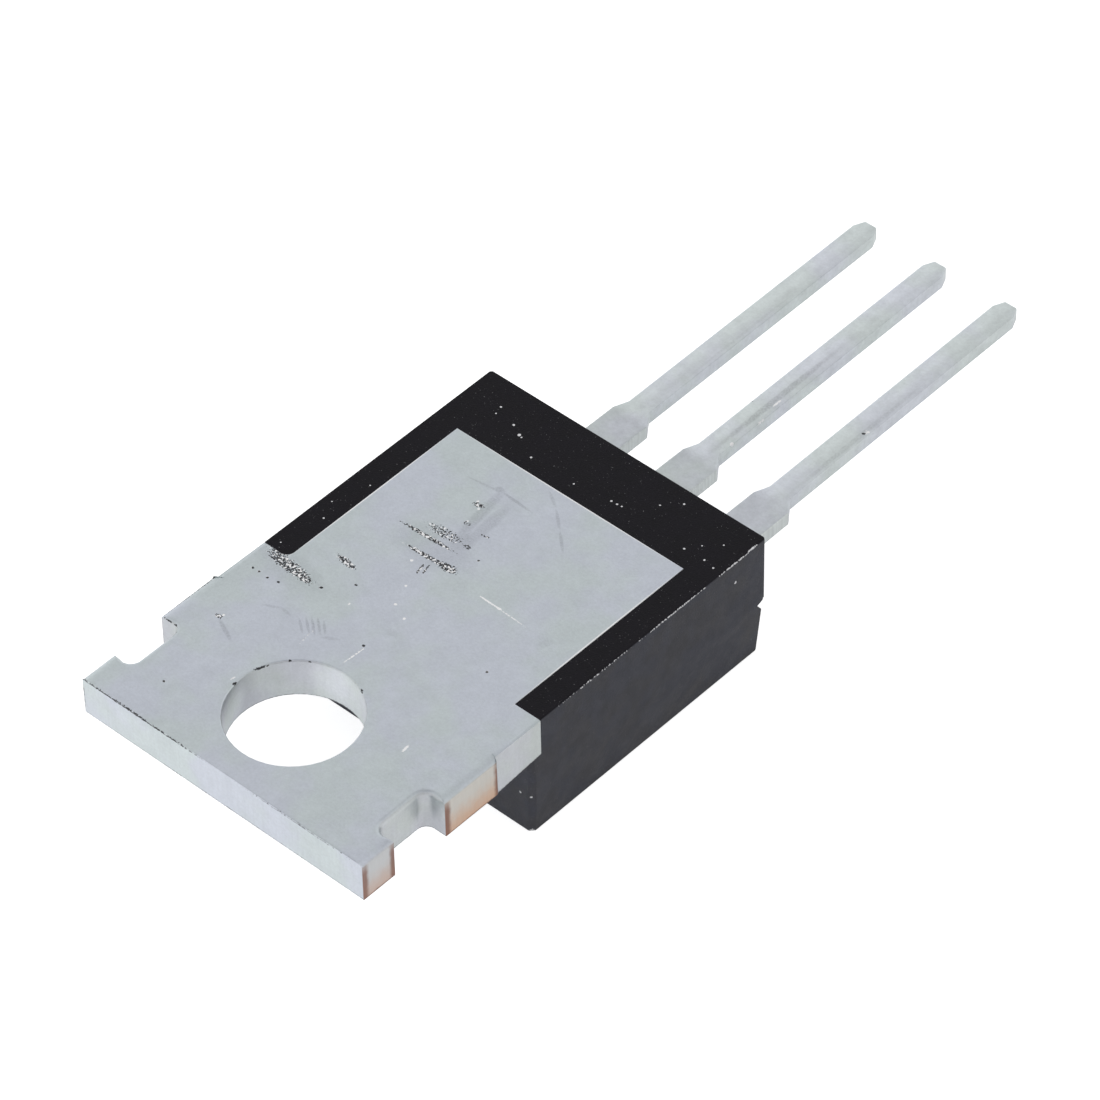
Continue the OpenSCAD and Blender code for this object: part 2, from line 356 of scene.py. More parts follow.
def body_edge_radius(a, b, edges):
    """Radius for an outer edge of the moulding."""
    middle = (a + b) / 2
    outer_x = BODY_HIGH.x - abs(middle.x) < 0.5
    outer_end = BODY_HIGH.y - middle.y < 0.2 or middle.y < BODY_LOW.y + 0.6
    upright = abs(a.z - b.z) > 0.2
    if near(a.z, HEATSINK_FACE) and near(b.z, HEATSINK_FACE):
        on_rim = near(abs(middle.x), BODY_HIGH.x) or near(middle.y, BODY_HIGH.y)
        on_corner = outer_x and BODY_HIGH.y - middle.y < 0.2
        return edges.body if on_rim or on_corner else edges.flush
    if near(a.z, 0) and near(b.z, 0):
        return edges.body if outer_x or outer_end else edges.plain
    if upright and outer_x and outer_end:
        return edges.corner
    if outer_x and outer_end and middle.z < PARTING + TOUCH:
        return edges.flush
    if near(middle.z, PARTING) and outer_end:
        return edges.flush
    return 0


# ---------------------------------------------------------------- node trees

def feed(tree, node, inputs):
    """Links a socket to, or sets a value on, each named or numbered input of a node."""
    for key, value in inputs.items():
        socket = node.inputs[key]
        if isinstance(value, bpy.types.NodeSocket):
            tree.links.new(value, socket)
        elif socket.type == "RGBA":
            socket.default_value = (*value[:3], 1.0)
        else:
            socket.default_value = value


def put(tree, kind, inputs=None, **values):
    """A new node with its settings and its inputs."""
    node = tree.nodes.new(kind)
    for key, value in values.items():
        setattr(node, key, value)
    feed(tree, node, inputs or {})
    return node


def maths(tree, operation, *values):
    return put(tree, "ShaderNodeMath", dict(enumerate(values)), operation=operation).outputs[0]


def product(tree, first, *others):
    for other in others:
        first = maths(tree, "MULTIPLY", first, other)
    return first


def stretched(tree, vector, factors):
    """A vector multiplied axis by axis."""
    return put(tree, "ShaderNodeVectorMath", {0: vector, 1: factors}, operation="MULTIPLY").outputs[0]


def axes_of(tree, vector):
    return put(tree, "ShaderNodeSeparateXYZ", {0: vector}).outputs


def ramp(tree, value, low, high, start=0.0, end=1.0, kind="SMOOTHSTEP"):
    """A step of value, smooth or linear, from start at low to end at high."""
    node = put(
        tree, "ShaderNodeMapRange", {"Value": value, "From Min": low, "From Max": high, "To Min": start, "To Max": end},
        interpolation_type=kind
    )
    return node.outputs["Result"]


def noise(tree, vector, size, detail=2.0, roughness=0.5):
    """Soft noise whose blobs measure about size."""
    scale = 1 / size if isinstance(size, (int, float)) else maths(tree, "DIVIDE", 1.0, size)
    node = put(
        tree, "ShaderNodeTexNoise", {"Vector": vector, "Scale": scale, "Detail": detail, "Roughness": roughness}
    )
    return node.outputs["Fac"]


def between(tree, factor, a, b):
    """Number a where factor is 0 and number b where it is 1."""
    return put(tree, "ShaderNodeMix", {0: factor, 2: a, 3: b}).outputs[0]


def blend(tree, factor, a, b, way="MIX"):
    """Colour a where factor is 0 and colour b, or a tinted by b, where it is 1."""
    return put(tree, "ShaderNodeMix", {0: factor, 6: a, 7: b}, data_type="RGBA", blend_type=way).outputs[2]


def tinted(tree, factor, tone, tint):
    return blend(tree, factor, tone, tint, "MULTIPLY")


def scaled(tree, tone, amount):
    """A colour made lighter or darker by amount."""
    return put(tree, "ShaderNodeVectorMath", {0: tone, "Scale": amount}, operation="SCALE").outputs[0]


def strongest(tree, *masks):
    """The greatest of several masks at each point."""
    total = masks[0]
    for mask in masks[1:]:
        total = maths(tree, "MAXIMUM", total, mask)
    return total


def new_group(name, inputs, outputs):
    """An empty node group with a Vector input and the named sockets, and its input and output nodes."""
    tree = bpy.data.node_groups.new(name, "ShaderNodeTree")
    for label, kind, default in (("Vector", "Vector", (0, 0, 0)), *inputs):
        socket = tree.interface.new_socket(name=label, in_out="INPUT", socket_type="NodeSocket" + kind)
        socket.default_value = default
    for label, kind in outputs:
        tree.interface.new_socket(name=label, in_out="OUTPUT", socket_type="NodeSocket" + kind)
    return tree, tree.nodes.new("NodeGroupInput").outputs, tree.nodes.new("NodeGroupOutput").inputs


def group(tree, name, **inputs):
    """The outputs of a node group, which is built on first use; inputs are given by name, with _ for a space."""
    shared = bpy.data.node_groups.get(name) or GROUP_BUILDERS[name](name)
    inputs = {key.replace("_", " "): value for key, value in inputs.items()}
    return put(tree, "ShaderNodeGroup", inputs, node_tree=shared).outputs


def build_cloud(name):
    """Two tones of a colour in soft clouds, with smudges and a fine grain over them."""
    tree, given, out = new_group(
        name,
        [("First", "Color", (0.5, 0.5, 0.5, 1)), ("Second", "Color", (0.5, 0.5, 0.5, 1)), ("Cloud Size", "Float", 1.5),
         ("Grain Size", "Float", 0.06), ("Grain", "Float", 0.05), ("Smudge", "Float", 0.05)],
        [("Colour", "Color"), ("Cloud", "Float"), ("Grain", "Float")],
    )
    cloud = ramp(tree, noise(tree, given["Vector"], given["Cloud Size"], 3.0), 0.36, 0.64)
    grain = noise(tree, given["Vector"], given["Grain Size"], 3.0, 0.6)
    smudge = noise(tree, given["Vector"], product(tree, given["Cloud Size"], 0.3), 3.0, 0.6)
    swing = maths(tree, "MULTIPLY_ADD", maths(tree, "SUBTRACT", grain, 0.5), given["Grain"], 1.0)
    swing = maths(tree, "MULTIPLY_ADD", maths(tree, "SUBTRACT", smudge, 0.5), given["Smudge"], swing)
    tone = blend(tree, cloud, given["First"], given["Second"])
    tree.links.new(scaled(tree, tone, swing), out["Colour"])
    tree.links.new(cloud, out["Cloud"])
    tree.links.new(grain, out["Grain"])
    return tree


def build_streaks(name):
    """Upright streaks that a punch leaves on the walls it cuts."""
    tree, given, out = new_group(name, [("Width", "Float", 0.06)], [("Streak", "Float")])
    drawn = stretched(tree, given["Vector"], (1.0, 1.0, 0.06))
    tree.links.new(ramp(tree, noise(tree, drawn, given["Width"], 2.0), 0.3, 0.7), out["Streak"])
    return tree


def build_patch(name):
    """A turned ellipsoid that fades out towards its rim; its axes are vectors as long as 1 over its half sizes."""
    tree, given, out = new_group(
        name,
        [("Centre", "Vector", (0, 0, 0)), ("Along", "Vector", (1, 0, 0)), ("Across", "Vector", (0, 1, 0)),
         ("Up", "Vector", (0, 0, 1)), ("Fill", "Float", 0.5)],
        [("Cover", "Float")],
    )
    from_centre = put(
        tree, "ShaderNodeVectorMath", {0: given["Vector"], 1: given["Centre"]}, operation="SUBTRACT"
    ).outputs[0]
    spread = 0.0
    for axis in ("Along", "Across", "Up"):
        reach = put(
            tree, "ShaderNodeVectorMath", {0: from_centre, 1: given[axis]}, operation="DOT_PRODUCT"
        ).outputs["Value"]
        spread = maths(tree, "MULTIPLY_ADD", reach, reach, spread)
    tree.links.new(product(tree, ramp(tree, spread, 1.0, 0.12), given["Fill"]), out["Cover"])
    return tree


def build_sheared(name):
    """A sheared side of the copper: plating dragged over its upper part, bare metal below, stained ends."""
    tree, given, out = new_group(
        name,
        [("Middle", "Float", 0.0), ("Side", "Float", 1.0), ("Start", "Float", 0.0), ("End", "Float", 1.0),
         ("Low", "Float", 0.0), ("High", "Float", 1.0),
         ("Drawn", "Color", (0.6, 0.6, 0.6, 1)), ("Bare", "Color", (0.7, 0.5, 0.4, 1)),
         ("Stained", "Color", (0.3, 0.2, 0.1, 1)), ("Stain", "Float", 1.0)],
        [("Colour", "Color"), ("Mask", "Float")],
    )
    axes = axes_of(tree, given["Vector"])
    out_from_middle = maths(tree, "ABSOLUTE", maths(tree, "SUBTRACT", axes["X"], given["Middle"]))

    # The mask holds a thin layer at the side's plane, from start to end
    overhang = maths(tree, "SUBTRACT", out_from_middle, given["Side"])
    on_side = ramp(tree, overhang, -0.035, -0.01)
    past_side = ramp(tree, overhang, 0.02, 0.01)
    from_start = maths(tree, "SUBTRACT", axes["Y"], given["Start"])
    to_end = maths(tree, "SUBTRACT", given["End"], axes["Y"])
    nearest_end = maths(tree, "MINIMUM", from_start, to_end)
    inside = ramp(tree, nearest_end, -0.02, 0.01)
    mask = product(tree, on_side, past_side, inside)

    # Depth runs from 0 at the top to 1 at the foot, and every limit in it is ragged
    ragged = maths(tree, "SUBTRACT", noise(tree, given["Vector"], 0.25, 3.0, 0.6), 0.5)
    fall = maths(tree, "SUBTRACT", given["High"], axes["Z"])
    depth = maths(tree, "DIVIDE", fall, maths(tree, "SUBTRACT", given["High"], given["Low"]))
    uneven = maths(tree, "MULTIPLY_ADD", ragged, 0.4, depth)
    bare = blend(tree, ramp(tree, uneven, 0.25, 1.0), given["Drawn"], given["Bare"])
    strip = ramp(tree, maths(tree, "MULTIPLY_ADD", ragged, 0.1, nearest_end), 0.24, 0.09)
    low_strip = product(tree, strip, ramp(tree, depth, -0.15, 0.3))
    foot = ramp(tree, maths(tree, "MULTIPLY_ADD", ragged, 0.1, depth), 0.92, 1.0)
    stain = product(tree, strongest(tree, low_strip, foot), given["Stain"])
    tree.links.new(blend(tree, stain, bare, given["Stained"]), out["Colour"])
    tree.links.new(mask, out["Mask"])
    return tree


GROUP_BUILDERS = {
    "Cloudy tone": build_cloud,
    "Punch streaks": build_streaks,
    "Soft patch": build_patch,
    "Sheared face": build_sheared,
}


def new_material(name):
    """A new material with its tree, its shader, its place in millimetres and its normal on the piece."""
    material = bpy.data.materials.new(name + ".finish")
    material.use_nodes = True
    tree = material.node_tree
    shader = tree.nodes["Principled BSDF"]
    source = tree.nodes.new("ShaderNodeTexCoord").outputs
    place = put(
        tree, "ShaderNodeMapping", {"Vector": source["Object"], "Scale": (1 / MM, 1 / MM, 1 / MM)}
    ).outputs[0]
    return material, tree, shader, place, source["Normal"]


def bumps(tree, height, distance):
    """The normal of bumps that stand out by distance, in millimetres, where height is 1."""
    return put(tree, "ShaderNodeBump", {"Height": height, "Distance": distance * MM}).outputs["Normal"]


def cover_of(tree, place, patches):
    """The greatest cover at each point from patches given as centre, half size, turn in degrees and fill."""
    covers = []
    for centre, (length, width, height), turn, fill in patches:
        cos, sin = math.cos(math.radians(turn)), math.sin(math.radians(turn))
        covers.append(group(
            tree, "Soft patch", Vector=place, Centre=centre, Along=(cos / length, sin / length, 0),
            Across=(-sin / width, cos / width, 0), Up=(0, 0, 1 / height), Fill=fill
        )["Cover"])
    return strongest(tree, *covers)


def flat_patches(marks):
    """Patches through the whole thickness from marks given as x, y, half length, half width, turn and fill."""
    return [((x, y, 0), (length, width, 1000), turn, fill) for x, y, length, width, turn, fill in marks]


def speckled(tree, cover, speckle):
    """A cover broken up into specks, whole where it is strong and gone where it is zero."""
    dense = maths(tree, "ADD", speckle, cover)
    return product(tree, ramp(tree, dense, 0.94, 1.06), ramp(tree, cover, 0.0, 0.12))


# Dark handling marks on the heatsink face: x, y, half length, half width, turn, fill
DARK_MARKS = [
    (-1.8, -4.77, 1.2, 0.09, 3, 0.7),
    (-1.22, -5.31, 1.1, 0.1, 3, 0.7),
    (-1.55, -4.37, 0.75, 0.24, 4, 0.48),
    (-0.62, -5.27, 0.42, 0.19, 3, 0.66),
    (-1.13, -5.76, 0.28, 0.05, 103, 0.74),
    (-1.0, -5.7, 0.24, 0.045, 103, 0.7),
    (-0.19, -4.55, 0.05, 0.05, 0, 0.95),
    (-0.75, -4.37, 0.18, 0.11, 0, 0.52),
    (-0.67, -3.76, 0.2, 0.05, 10, 0.52),
    (-1.61, -3.01, 0.24, 0.12, 10, 0.58),
    (-1.36, -3.73, 0.16, 0.1, 10, 0.48),
    (-3.75, -7.95, 1.1, 0.26, -3, 0.64),
    (-3.25, -7.99, 0.5, 0.18, -10, 0.68),
    (-4.35, -7.72, 0.4, 0.2, 0, 0.6),
    (-2.74, -6.86, 0.5, 0.14, -7, 0.68),
    (-4.44, -8.63, 0.06, 0.05, 0, 1.0),
    (-4.22, -8.62, 0.055, 0.05, 0, 1.0),
    (-3.9, -8.64, 0.05, 0.05, 0, 0.95),
    (-3.57, -8.57, 0.06, 0.05, 0, 0.95),
    (-2.59, -7.98, 0.08, 0.055, 60, 1.0),
    (-1.98, -7.31, 0.06, 0.05, 0, 0.8),
    (-0.31, -8.79, 0.06, 0.06, 0, 1.0),
    (-3.28, -13.1, 0.06, 0.05, 0, 0.95),
    (-3.86, -10.49, 0.14, 0.1, 0, 0.62),
    (2.72, -7.38, 0.055, 0.055, 0, 0.95),
    (-0.44, 6.68, 0.06, 0.04, 0, 0.9),
    (2.7, 7.72, 0.09, 0.06, 40, 0.8),
]

# Dark specks and broken dark lines along the stamped rims, painted shade of the rims' edges and burrs with some dirt:
# centre, half size, turn, fill
RIM_SHADE_MARKS = [
    ((-1.72, -11.04, 4.28), (0.34, 0.06, 0.06), 62, 0.78),
    ((-1.36, -10.43, 4.29), (0.06, 0.05, 0.05), 0, 0.9),
    ((-0.95, -10.12, 4.29), (0.06, 0.05, 0.05), 0, 0.9),
    ((-1.87, -11.97, 4.28), (0.05, 0.12, 0.06), 0, 0.75),
    ((0.76, -9.99, 4.28), (0.1, 0.06, 0.06), -25, 0.75),
    ((-3.1, -14.38, 4.26), (3.9, 0.05, 0.045), 0, 0.7),
    ((2.6, -14.38, 4.26), (3.0, 0.05, 0.04), 0, 0.45),
    ((-4.93, -14.38, 3.7), (0.05, 0.05, 0.65), 0, 0.55),
    ((0.0, -14.38, 3.05), (5.4, 0.05, 0.05), 0, 0.55),
    ((-4.32, -12.15, 4.28), (0.05, 0.85, 0.06), 0, 0.85),
    ((-4.6, -11.44, 4.26), (0.45, 0.05, 0.05), 0, 0.6),
    ((-5.0, -9.6, 4.24), (0.06, 2.8, 0.09), 0, 0.6),
    ((-5.0, -11.4, 3.8), (0.05, 0.06, 0.6), 0, 0.55),
]

# Faint grey rubs: x, y, half length, half width, turn, fill
FAINT_MARKS = [
    (-1.32, -3.26, 1.45, 0.2, 98, 0.8),
    (-0.9, -3.4, 1.15, 0.24, 94, 0.7),
    (-0.98, -4.3, 0.55, 0.4, 90, 0.8),
    (-1.95, -2.33, 0.75, 0.05, 8, 0.7),
    (-0.98, -2.26, 0.75, 0.06, -3, 1.0),
    (-1.57, -2.22, 0.18, 0.14, 0, 1.0),
    (-0.27, -1.57, 0.4, 0.06, -32, 0.7),
    (0.33, -2.03, 0.48, 0.06, -41, 0.9),
    (0.97, -2.6, 0.5, 0.06, -42, 0.9),
    (3.15, -5.65, 0.32, 0.16, 70, 0.35),
    (-2.02, -9.34, 0.34, 0.05, 143, 0.9),
    (-1.89, -9.22, 0.38, 0.05, 142, 1.0),
    (-1.77, -9.14, 0.4, 0.05, 140, 1.0),
    (-1.67, -9.03, 0.38, 0.05, 140, 1.0),
    (-1.52, -8.98, 0.3, 0.05, 138, 0.9),
    (-1.14, -9.17, 0.3, 0.08, 30, 0.6),
    (-0.07, -7.98, 0.24, 0.14, 0, 0.4),
    (-3.08, -9.32, 0.3, 0.06, 28, 0.7),
    (-2.68, -9.22, 0.28, 0.06, -8, 0.7),
    (-3.4, -10.74, 0.55, 0.08, 155, 0.9),
    (-3.75, -8.0, 1.5, 0.65, -3, 0.45),
    (-1.35, -4.95, 1.6, 0.85, 0, 0.4),
    (0.02, 7.2, 3.2, 0.13, 90.5, 1.0),
    (2.68, 7.4, 3.2, 0.1, 90.5, 0.7),
    (-2.4, 8.5, 2.8, 0.06, 90.5, 0.4),
]

# Scratches, painted white as their glints: x, y, half length, half width, turn, fill
SCRATCH_GLINTS = [
    (1.05, -5.485, 0.48, 0.036, -1, 0.9),
    (1.4, -5.49, 0.12, 0.05, 0, 1.0),
    (1.85, -5.51, 0.6, 0.026, -2, 0.66),
    (-1.66, -10.95, 0.26, 0.045, 58, 0.55),
    (-2.02, -11.85, 0.1, 0.04, 80, 0.6),
    (3.0, -10.74, 0.19, 0.05, 97, 1.0),
    (-0.25, -9.18, 0.5, 0.032, 86, 0.7),
    (-1.64, -9.45, 0.58, 0.03, 96, 0.4),
    (-0.72, -7.15, 0.06, 0.06, 0, 0.95),
    (-0.19, -7.38, 0.055, 0.055, 0, 0.9),
    (-0.98, -6.48, 0.05, 0.05, 0, 0.9),
    (-1.63, -7.93, 0.06, 0.05, 0, 0.6),
    (-1.51, -5.69, 0.06, 0.06, 0, 0.8),
    (-1.7, -2.93, 0.06, 0.06, 0, 0.95),
    (-1.5, -3.12, 0.05, 0.05, 0, 0.95),
    (-1.4, -3.66, 0.05, 0.05, 0, 0.85),
    (-3.8, -10.38, 0.05, 0.05, 0, 0.9),
]

# Bright flecks along the drain lead's edge, painted as glints, and a painted highlight round the rim of the die pad:
# centre, half size, turn, fill
LEAD_GLINT_FLECKS = [
    ((0.27, 5.04, 1.92), (0.07, 0.09, 0.1), 0, 1.0),
    ((0.3, 6.25, 1.92), (0.06, 0.26, 0.1), 0, 0.9),
    ((0.14, 7.08, 1.92), (0.05, 0.26, 0.1), 0, 0.8),
    ((2.72, 7.84, 1.92), (0.08, 0.08, 0.1), 0, 0.8),
]
PAD_RIM_HIGHLIGHT = [
    ((-4.03, -4.48, 4.3), (0.06, 3.8, 0.05), 0, 0.95),
    ((4.03, -4.48, 4.3), (0.06, 3.8, 0.05), 0, 0.95),
    ((0.0, -1.22, 4.3), (5.0, 0.06, 0.05), 0, 0.95),
]

# Painted light and painted shade on the walls, where they take more or less light from the floor: centre, half size,
# turn, fill
PAINTED_LIGHT_WALLS = [
    ((0.32, -9.87, 3.7), (1.5, 1.5, 1.6), 0, 0.27),
    ((-1.72, -12.4, 3.8), (0.9, 0.9, 1.2), 0, 0.36),
]
# Painted shade on the walls
PAINTED_SHADE_WALLS = [
    ((4.6, -11.45, 3.3), (0.55, 0.4, 0.9), 0, 0.17),
    ((4.38, -11.6, 3.9), (0.22, 0.22, 0.6), 0, 0.12),
    ((-1.43, -10.5, 3.9), (0.8, 0.8, 0.6), 0, 0.06),
]


def tinned_copper():
    """Tin plating on stamped copper, with bare copper where the strip was sheared after plating."""
    colours, gloss = settings().colours, settings().finish
    material, tree, shader, place, normal = new_material("tinned_copper")
    tone = group(
        tree, "Cloudy tone", Vector=place, First=colours.tin, Second=colours.tin_tint,
        Cloud_Size=1.7, Grain_Size=0.07, Grain=0.22, Smudge=0.17
    )
    place_x, place_y, place_z = axes_of(tree, place)
    normal_z = axes_of(tree, normal)["Z"]
    upward = ramp(tree, normal_z, 0.9, 0.98)

    # Steep surfaces count as walls, and along the gate side's rolled edge only the steepest do
    rolled = ramp(tree, place_x, 0.2 - EAR_SIDE, -EAR_SIDE, 0.92, 0.6)
    wall = ramp(tree, maths(tree, "ABSOLUTE", normal_z), rolled, maths(tree, "SUBTRACT", rolled, 0.3))

    # Painted light on the leads: a painted highlight along their gate side and painted shade on their cut sides, under
    # a random mottle
    on_lead = maths(tree, "LESS_THAN", place_z, LEAD_TOP + 0.05)
    across = maths(tree, "WRAP", place_x, LEAD_PITCH / 2, -LEAD_PITCH / 2)
    narrow = ramp(tree, place_y, LEAD_WIDE_END - 0.2, LEAD_WIDE_END + 0.3)
    lead_light_and_mottle = ramp(tree, across, -0.22, 0.06, 1.21, 1.08)
    lead_light_and_mottle = between(tree, narrow, 0.97, lead_light_and_mottle)
    lead_light_and_mottle = maths(tree, "MULTIPLY_ADD", wall, -0.20, lead_light_and_mottle)
    mottle = noise(tree, place, 0.3, 3.0, 0.6)
    lead_light_and_mottle = maths(tree, "MULTIPLY_ADD", mottle, 0.3, maths(tree, "SUBTRACT", lead_light_and_mottle, 0.15))

    # Painted shade on the punched walls, which are tinted darker than the faces partly for their duller plating, with
    # painted light and shade where they take the floor's light unevenly
    behind_end = ramp(tree, place_y, TAB_END + 0.03, TAB_END + 0.1)
    dull_and_shaded = product(tree, wall, maths(tree, "MULTIPLY_ADD", behind_end, 0.8, 0.2))
    lit = maths(tree, "SUBTRACT", cover_of(tree, place, PAINTED_LIGHT_WALLS), cover_of(tree, place, PAINTED_SHADE_WALLS))
    plate_painted_light = maths(tree, "MULTIPLY_ADD", wall, lit, 1.0)
    level = between(tree, on_lead, plate_painted_light, lead_light_and_mottle)
    dull_and_shaded = product(tree, dull_and_shaded, maths(tree, "SUBTRACT", 1.0, on_lead))
    surface = tinted(tree, on_lead, tone["Colour"], colours.lead)
    surface = scaled(tree, tinted(tree, dull_and_shaded, surface, colours.dull_and_shaded), level)

    # Marks, the painted rim shade and the painted glints of scratches break up into specks, and light flecks, painted
    # as glints, stand in the darkest marks
    speckle = ramp(tree, noise(tree, place, 0.05, 1.0), 0.25, 0.75, kind="LINEAR")
    dark_cover = product(tree, cover_of(tree, place, flat_patches(DARK_MARKS)), upward)
    faint = product(tree, cover_of(tree, place, flat_patches(FAINT_MARKS)), upward)
    scratch_glint_cover = product(tree, cover_of(tree, place, flat_patches(SCRATCH_GLINTS)), upward)
    # Painted shade along the stamped rims, broken into specks
    rim = speckled(tree, cover_of(tree, place, RIM_SHADE_MARKS), speckle)
    dark_marks_and_shade = strongest(tree, speckled(tree, dark_cover, speckle), rim)
    glint_fleck = ramp(tree, maths(tree, "MULTIPLY_ADD", dark_cover, 0.32, noise(tree, place, 0.07, 1.0)), 0.76, 0.79)
    glint_fleck = product(tree, glint_fleck, ramp(tree, dark_cover, 0.1, 0.3), ramp(tree, dark_cover, 0.78, 0.72))
    lead_glint_flecks = speckled(tree, cover_of(tree, place, LEAD_GLINT_FLECKS), speckle)
    glints = strongest(tree, speckled(tree, scratch_glint_cover, speckle), glint_fleck, lead_glint_flecks, cover_of(tree, place, PAD_RIM_HIGHLIGHT))
    rubbed = product(tree, faint, maths(tree, "MULTIPLY_ADD", speckle, 0.2, 0.08))
    surface = blend(tree, rubbed, surface, colours.mark)
    surface = blend(tree, glints, surface, colours.scratch_glint)

    # Sheared faces: the ears' ends and the stubs with bare copper, and the ribbed sides of the leads' roots
    cut_sides, ribs = [], []
    root = (LEAD_SIDE, BODY_HIGH.y, LEAD_WIDE_END, LEAD_BOTTOM, LEAD_TOP, colours.ribbed, colours.ribbed, 0.0)
    for middle, side, start, end, low, high, drawn, bare, stain in (
        (0, EAR_SIDE, TAB_END, EAR_END, TAB_UNDERSIDE, HEATSINK_FACE, colours.dragged, colours.copper_pale, 0.85),
        (0, STUB_SIDE, STUB_START, STUB_END, TAB_UNDERSIDE, HEATSINK_FACE, colours.burnished, colours.copper, 0.9),
        (-LEAD_PITCH, *root), (0, *root), (LEAD_PITCH, *root),
    ):
        face = group(
            tree, "Sheared face", Vector=place, Middle=middle, Side=side, Start=start, End=end, Low=low, High=high,
            Drawn=drawn, Bare=bare, Stained=colours.stained, Stain=stain
        )
        surface = blend(tree, face["Mask"], surface, face["Colour"])
        (cut_sides if stain else ribs).append(face["Mask"])

    # Streaks from the punch on the walls, and a dark, broken line of painted shade along their feet
    streak = group(tree, "Punch streaks", Vector=place, Width=0.09)["Streak"]
    strength = maths(tree, "MULTIPLY_ADD", strongest(tree, *ribs), 0.11, 0.03)
    streaked = product(tree, wall, streak, strength)
    foot = maths(
        tree, "MINIMUM", ramp(tree, place_z, TAB_UNDERSIDE + 0.06, TAB_UNDERSIDE + 0.03),
        maths(tree, "GREATER_THAN", place_z, TAB_UNDERSIDE - 0.01)
    )
    foot = product(tree, foot, wall, ramp(tree, speckle, 0.2, 0.7, 0.1, 0.7))
    surface = scaled(tree, surface, maths(tree, "SUBTRACT", 1.0, strongest(tree, streaked, foot)))
    surface = blend(tree, dark_marks_and_shade, surface, colours.mark)
    surface = blend(tree, glint_fleck, surface, colours.scratch_glint)

    rough = maths(tree, "MULTIPLY_ADD", tone["Cloud"], 0.05, gloss.tin - 0.025)
    rough = maths(tree, "MULTIPLY_ADD", strongest(tree, *cut_sides), gloss.sheared - gloss.tin, rough)
    feed(tree, shader, {
        "Base Color": surface,
        "Roughness": maths(tree, "MULTIPLY_ADD", dark_marks_and_shade, 0.3, rough),
        "Metallic": maths(tree, "SUBTRACT", 1.0, strongest(tree, dark_marks_and_shade, glints)),
        "Normal": bumps(tree, maths(tree, "ADD", streaked, tone["Grain"]), 0.004),
    })
    return material


# Light grains and chips in the moulding's heatsink face: x, y, radius
RESIN_CHIPS = [
    (-3.7, 0.15, 0.06), (-3.63, -0.12, 0.05), (-2.97, -0.14, 0.07), (-2.6, -0.33, 0.09), (-2.49, -0.36, 0.05),
    (-1.78, -0.76, 0.06), (-0.25, -0.76, 0.05), (0.93, -0.59, 0.06), (1.12, -0.58, 0.06), (1.27, -0.56, 0.05),
    (2.0, 0.14, 0.05), (2.45, 0.59, 0.06), (3.55, -0.66, 0.06), (3.83, -0.27, 0.04), (4.24, 0.12, 0.05),
    (4.22, -0.63, 0.06), (4.59, -0.7, 0.06), (-4.6, -5.47, 0.04), (-4.33, -6.07, 0.05), (-4.26, -4.36, 0.04),
    (-4.55, -7.47, 0.04), (-3.92, -5.45, 0.04),
]

# Chips and rubbed stretches elsewhere on the moulding: centre, half size, turn, fill
RESIN_RUBS = [
    ((4.89, -0.2, 4.27), (0.03, 0.9, 0.03), 0, 0.66),
    ((4.87, 0.55, 4.28), (0.035, 0.28, 0.035), 0, 0.85),
    ((4.89, -2.6, 4.27), (0.028, 1.8, 0.028), 0, 0.6),
    ((4.89, -5.6, 4.27), (0.03, 1.8, 0.03), 0, 0.4),
    ((4.55, -7.83, 0.06), (0.3, 0.08, 0.08), 0, 0.6),
    ((4.9, -0.16, 3.56), (0.06, 0.06, 0.06), 0, 0.9),
    ((4.4, -8.03, 1.51), (0.05, 0.05, 0.05), 0, 1.0),
    ((4.75, -7.99, 1.52), (0.05, 0.05, 0.05), 0, 1.0),
]


